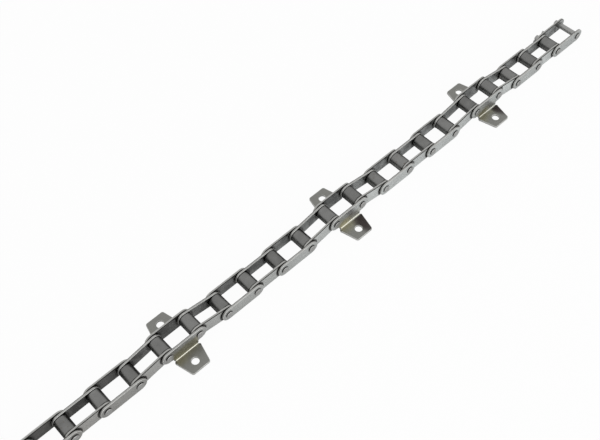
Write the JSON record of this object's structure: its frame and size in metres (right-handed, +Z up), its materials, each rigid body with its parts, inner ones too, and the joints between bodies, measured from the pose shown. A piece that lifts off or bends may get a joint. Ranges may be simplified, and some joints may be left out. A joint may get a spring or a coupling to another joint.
{
  "type": "conveyor roller chain",
  "caption": "Steel roller chain for a conveyor, with bent tab attachments on both sides of every third outer link, lying as it comes off the roll.",
  "frame": {"origin": "on the floor, under the middle of the chain, halfway between its two plates and halfway between its end pins", "axes": "+X along the chain towards the connecting link, +Y along the pins towards the cotter pin's side, +Z up, the tabs being underneath"},
  "size_m": [0.858, 0.0776, 0.0236],
  "materials": {
    "outer_steel": "bright rolled steel, lightly oiled",
    "inner_steel": "bright rolled steel, lightly oiled",
    "attachment_plate": "rolled steel with an olive passivated tint",
    "roller_steel": "dark heat-treated steel, satin",
    "pin_steel": "ground steel",
    "cotter_wire": "drawn wire"
  },
  "bodies": {
    "link_00": {"connecting_link_plate": "outer_steel", "connecting_link_cover_plate": "outer_steel", "connecting_link_pins": "pin_steel", "cotter_pin": "cotter_wire"},
    "link_01": {"inner_link_01": "inner_steel"},
    "link_02": {"outer_link_02_plates": "outer_steel", "outer_link_02_pins": "pin_steel"},
    "link_03": {"inner_link_03": "inner_steel"},
    "link_04": {"attachment_link_04_near_plate": "attachment_plate", "attachment_link_04_far_plate": "attachment_plate", "attachment_link_04_pins": "pin_steel"},
    "link_05": {"inner_link_05": "inner_steel"},
    "link_06": {"outer_link_06_plates": "outer_steel", "outer_link_06_pins": "pin_steel"},
    "link_07": {"inner_link_07": "inner_steel"},
    "link_08": {"outer_link_08_plates": "outer_steel", "outer_link_08_pins": "pin_steel"},
    "link_09": {"inner_link_09": "inner_steel"},
    "link_10": {"attachment_link_10_near_plate": "attachment_plate", "attachment_link_10_far_plate": "attachment_plate", "attachment_link_10_pins": "pin_steel"},
    "link_11": {"inner_link_11": "inner_steel"},
    "link_12": {"outer_link_12_plates": "outer_steel", "outer_link_12_pins": "pin_steel"},
    "link_13": {"inner_link_13": "inner_steel"},
    "link_14": {"outer_link_14_plates": "outer_steel", "outer_link_14_pins": "pin_steel"},
    "link_15": {"inner_link_15": "inner_steel"},
    "link_16": {"attachment_link_16_near_plate": "attachment_plate", "attachment_link_16_far_plate": "attachment_plate", "attachment_link_16_pins": "pin_steel"},
    "link_17": {"inner_link_17": "inner_steel"},
    "link_18": {"outer_link_18_plates": "outer_steel", "outer_link_18_pins": "pin_steel"},
    "link_19": {"inner_link_19": "inner_steel"},
    "link_20": {"outer_link_20_plates": "outer_steel", "outer_link_20_pins": "pin_steel"},
    "link_21": {"inner_link_21": "inner_steel"},
    "roller_01": {"roller_01": "roller_steel"},
    "roller_02": {"roller_02": "roller_steel"},
    "roller_03": {"roller_03": "roller_steel"},
    "roller_04": {"roller_04": "roller_steel"},
    "roller_05": {"roller_05": "roller_steel"},
    "roller_06": {"roller_06": "roller_steel"},
    "roller_07": {"roller_07": "roller_steel"},
    "roller_08": {"roller_08": "roller_steel"},
    "roller_09": {"roller_09": "roller_steel"},
    "roller_10": {"roller_10": "roller_steel"},
    "roller_11": {"roller_11": "roller_steel"},
    "roller_12": {"roller_12": "roller_steel"},
    "roller_13": {"roller_13": "roller_steel"},
    "roller_14": {"roller_14": "roller_steel"},
    "roller_15": {"roller_15": "roller_steel"},
    "roller_16": {"roller_16": "roller_steel"},
    "roller_17": {"roller_17": "roller_steel"},
    "roller_18": {"roller_18": "roller_steel"},
    "roller_19": {"roller_19": "roller_steel"},
    "roller_20": {"roller_20": "roller_steel"},
    "roller_21": {"roller_21": "roller_steel"},
    "roller_22": {"roller_22": "roller_steel"}
  },
  "joints": [
    {"name": "hinge_01", "type": "hinge", "parent": "link_01", "child": "link_00", "pos_m": [0.38218, 0, 0.0084], "axis": [0, 1, 0], "range_deg": [-135, 135]},
    {"name": "hinge_02", "type": "hinge", "parent": "link_02", "child": "link_01", "pos_m": [0.34378, 0, 0.0084], "axis": [0, -1, 0], "range_deg": [-135, 135]},
    {"name": "hinge_03", "type": "hinge", "parent": "link_03", "child": "link_02", "pos_m": [0.30538, 0, 0.0084], "axis": [0, 1, 0], "range_deg": [-124.8, 145.2]},
    {"name": "hinge_04", "type": "hinge", "parent": "link_04", "child": "link_03", "pos_m": [0.26759, 0, 0.0152], "axis": [0, -1, 0], "range_deg": [-124.8, 145.2]},
    {"name": "hinge_05", "type": "hinge", "parent": "link_05", "child": "link_04", "pos_m": [0.22919, 0, 0.0152], "axis": [0, 1, 0], "range_deg": [-145.2, 124.8]},
    {"name": "hinge_06", "type": "hinge", "parent": "link_06", "child": "link_05", "pos_m": [0.19139, 0, 0.0084], "axis": [0, -1, 0], "range_deg": [-145.2, 124.8]},
    {"name": "hinge_07", "type": "hinge", "parent": "link_07", "child": "link_06", "pos_m": [0.15299, 0, 0.0084], "axis": [0, 1, 0], "range_deg": [-135, 135]},
    {"name": "hinge_08", "type": "hinge", "parent": "link_08", "child": "link_07", "pos_m": [0.11459, 0, 0.0084], "axis": [0, -1, 0], "range_deg": [-135, 135]},
    {"name": "hinge_09", "type": "hinge", "parent": "link_09", "child": "link_08", "pos_m": [0.07619, 0, 0.0084], "axis": [0, 1, 0], "range_deg": [-124.8, 145.2]},
    {"name": "hinge_10", "type": "hinge", "parent": "link_10", "child": "link_09", "pos_m": [0.0384, 0, 0.0152], "axis": [0, -1, 0], "range_deg": [-124.8, 145.2]},
    {"name": "hinge_11", "type": "hinge", "parent": "link_10", "child": "link_11", "pos_m": [0, 0, 0.0152], "axis": [0, -1, 0], "range_deg": [-145.2, 124.8]},
    {"name": "hinge_12", "type": "hinge", "parent": "link_11", "child": "link_12", "pos_m": [-0.03779, 0, 0.0084], "axis": [0, 1, 0], "range_deg": [-145.2, 124.8]},
    {"name": "hinge_13", "type": "hinge", "parent": "link_12", "child": "link_13", "pos_m": [-0.07619, 0, 0.0084], "axis": [0, -1, 0], "range_deg": [-135, 135]},
    {"name": "hinge_14", "type": "hinge", "parent": "link_13", "child": "link_14", "pos_m": [-0.11459, 0, 0.0084], "axis": [0, 1, 0], "range_deg": [-135, 135]},
    {"name": "hinge_15", "type": "hinge", "parent": "link_14", "child": "link_15", "pos_m": [-0.15299, 0, 0.0084], "axis": [0, -1, 0], "range_deg": [-124.8, 145.2]},
    {"name": "hinge_16", "type": "hinge", "parent": "link_15", "child": "link_16", "pos_m": [-0.19079, 0, 0.0152], "axis": [0, 1, 0], "range_deg": [-124.8, 145.2]},
    {"name": "hinge_17", "type": "hinge", "parent": "link_16", "child": "link_17", "pos_m": [-0.22919, 0, 0.0152], "axis": [0, -1, 0], "range_deg": [-145.2, 124.8]},
    {"name": "hinge_18", "type": "hinge", "parent": "link_17", "child": "link_18", "pos_m": [-0.26698, 0, 0.0084], "axis": [0, 1, 0], "range_deg": [-145.2, 124.8]},
    {"name": "hinge_19", "type": "hinge", "parent": "link_18", "child": "link_19", "pos_m": [-0.30538, 0, 0.0084], "axis": [0, -1, 0], "range_deg": [-135, 135]},
    {"name": "hinge_20", "type": "hinge", "parent": "link_19", "child": "link_20", "pos_m": [-0.34378, 0, 0.0084], "axis": [0, 1, 0], "range_deg": [-135, 135]},
    {"name": "hinge_21", "type": "hinge", "parent": "link_20", "child": "link_21", "pos_m": [-0.38218, 0, 0.0084], "axis": [0, -1, 0], "range_deg": [-135, 135]},
    {"name": "spin_01", "type": "hinge", "parent": "link_01", "child": "roller_01", "pos_m": [0.38218, 0, 0.0084], "axis": [0, 1, 0], "continuous": true},
    {"name": "spin_02", "type": "hinge", "parent": "link_01", "child": "roller_02", "pos_m": [0.34378, 0, 0.0084], "axis": [0, 1, 0], "continuous": true},
    {"name": "spin_03", "type": "hinge", "parent": "link_03", "child": "roller_03", "pos_m": [0.30538, 0, 0.0084], "axis": [0, 1, 0], "continuous": true},
    {"name": "spin_04", "type": "hinge", "parent": "link_03", "child": "roller_04", "pos_m": [0.26759, 0, 0.0152], "axis": [0, 1, 0], "continuous": true},
    {"name": "spin_05", "type": "hinge", "parent": "link_05", "child": "roller_05", "pos_m": [0.22919, 0, 0.0152], "axis": [0, 1, 0], "continuous": true},
    {"name": "spin_06", "type": "hinge", "parent": "link_05", "child": "roller_06", "pos_m": [0.19139, 0, 0.0084], "axis": [0, 1, 0], "continuous": true},
    {"name": "spin_07", "type": "hinge", "parent": "link_07", "child": "roller_07", "pos_m": [0.15299, 0, 0.0084], "axis": [0, 1, 0], "continuous": true},
    {"name": "spin_08", "type": "hinge", "parent": "link_07", "child": "roller_08", "pos_m": [0.11459, 0, 0.0084], "axis": [0, 1, 0], "continuous": true},
    {"name": "spin_09", "type": "hinge", "parent": "link_09", "child": "roller_09", "pos_m": [0.07619, 0, 0.0084], "axis": [0, 1, 0], "continuous": true},
    {"name": "spin_10", "type": "hinge", "parent": "link_09", "child": "roller_10", "pos_m": [0.0384, 0, 0.0152], "axis": [0, 1, 0], "continuous": true},
    {"name": "spin_11", "type": "hinge", "parent": "link_11", "child": "roller_11", "pos_m": [0, 0, 0.0152], "axis": [0, 1, 0], "continuous": true},
    {"name": "spin_12", "type": "hinge", "parent": "link_11", "child": "roller_12", "pos_m": [-0.03779, 0, 0.0084], "axis": [0, 1, 0], "continuous": true},
    {"name": "spin_13", "type": "hinge", "parent": "link_13", "child": "roller_13", "pos_m": [-0.07619, 0, 0.0084], "axis": [0, 1, 0], "continuous": true},
    {"name": "spin_14", "type": "hinge", "parent": "link_13", "child": "roller_14", "pos_m": [-0.11459, 0, 0.0084], "axis": [0, 1, 0], "continuous": true},
    {"name": "spin_15", "type": "hinge", "parent": "link_15", "child": "roller_15", "pos_m": [-0.15299, 0, 0.0084], "axis": [0, 1, 0], "continuous": true},
    {"name": "spin_16", "type": "hinge", "parent": "link_15", "child": "roller_16", "pos_m": [-0.19079, 0, 0.0152], "axis": [0, 1, 0], "continuous": true},
    {"name": "spin_17", "type": "hinge", "parent": "link_17", "child": "roller_17", "pos_m": [-0.22919, 0, 0.0152], "axis": [0, 1, 0], "continuous": true},
    {"name": "spin_18", "type": "hinge", "parent": "link_17", "child": "roller_18", "pos_m": [-0.26698, 0, 0.0084], "axis": [0, 1, 0], "continuous": true},
    {"name": "spin_19", "type": "hinge", "parent": "link_19", "child": "roller_19", "pos_m": [-0.30538, 0, 0.0084], "axis": [0, 1, 0], "continuous": true},
    {"name": "spin_20", "type": "hinge", "parent": "link_19", "child": "roller_20", "pos_m": [-0.34378, 0, 0.0084], "axis": [0, 1, 0], "continuous": true},
    {"name": "spin_21", "type": "hinge", "parent": "link_21", "child": "roller_21", "pos_m": [-0.38218, 0, 0.0084], "axis": [0, 1, 0], "continuous": true},
    {"name": "spin_22", "type": "hinge", "parent": "link_21", "child": "roller_22", "pos_m": [-0.42058, 0, 0.0084], "axis": [0, 1, 0], "continuous": true}
  ]
}
